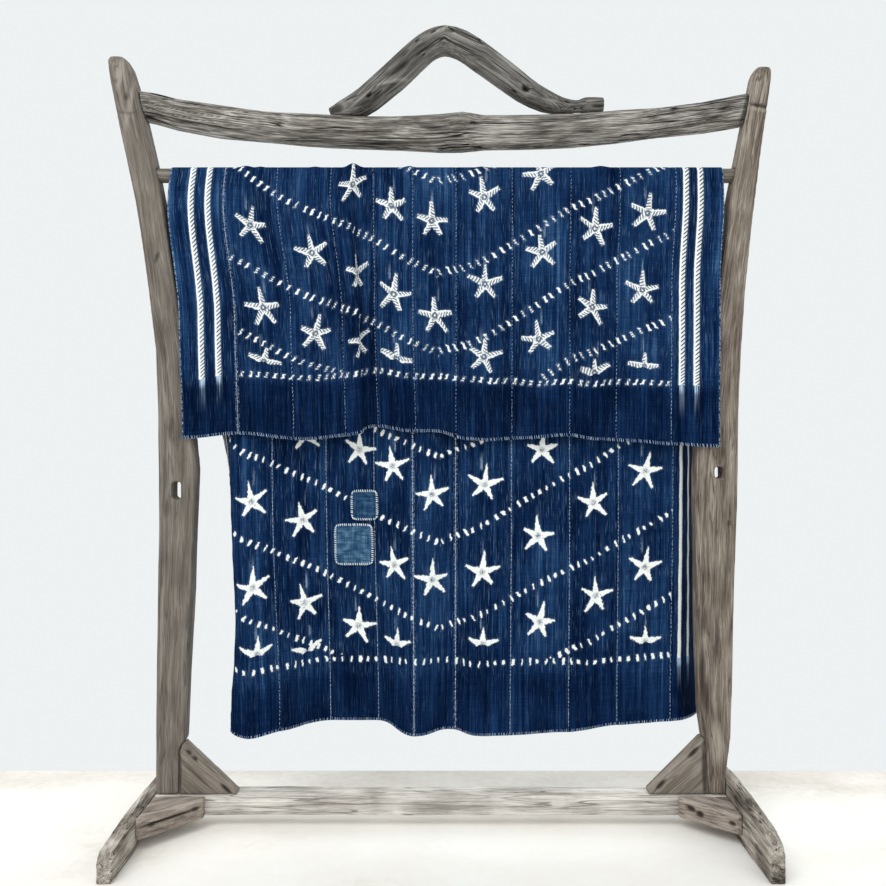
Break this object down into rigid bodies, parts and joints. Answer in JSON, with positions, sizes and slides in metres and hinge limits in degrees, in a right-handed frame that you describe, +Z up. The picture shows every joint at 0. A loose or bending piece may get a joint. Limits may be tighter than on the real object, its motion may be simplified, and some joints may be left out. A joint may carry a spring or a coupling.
{
  "type": "indigo strip-woven cloth on a wooden stand",
  "caption": "Indigo stitch-resist strip-woven cloth with white stars and chevrons, draped over the rod of a freestanding weathered wooden rack with a bent-branch handle.",
  "frame": {"origin": "on the floor, midway between the two feet and between their front and back ends", "axes": "+X right along the rod, +Y back, away from the short front flap, +Z up"},
  "size_m": [1.348, 0.514, 1.6245],
  "materials": {
    "grey_wood": "weathered, cracked, unvarnished",
    "pale_wood": "sun-bleached, rough, unvarnished",
    "indigo_cloth": "matt hand-woven cotton with white resist-dyed stars and dashes",
    "faded_indigo_cloth": "matt worn cotton patch"
  },
  "bodies": {
    "root": {"post_left": "grey_wood", "post_right": "grey_wood", "rail": "grey_wood", "handle": "grey_wood", "rod": "grey_wood", "stretcher": "pale_wood", "foot_left": "pale_wood", "foot_right": "pale_wood", "gusset_left": "grey_wood", "gusset_right": "grey_wood", "brace_left": "pale_wood", "brace_right": "pale_wood", "strip_01": "indigo_cloth", "strip_02": "indigo_cloth", "strip_03": "indigo_cloth", "strip_04": "indigo_cloth", "strip_05": "indigo_cloth", "strip_06": "indigo_cloth", "strip_07": "indigo_cloth", "strip_08": "indigo_cloth", "strip_09": "indigo_cloth", "strip_10": "indigo_cloth", "strip_11": "indigo_cloth", "patch_small": "faded_indigo_cloth", "patch_large": "faded_indigo_cloth"}
  },
  "joints": []
}
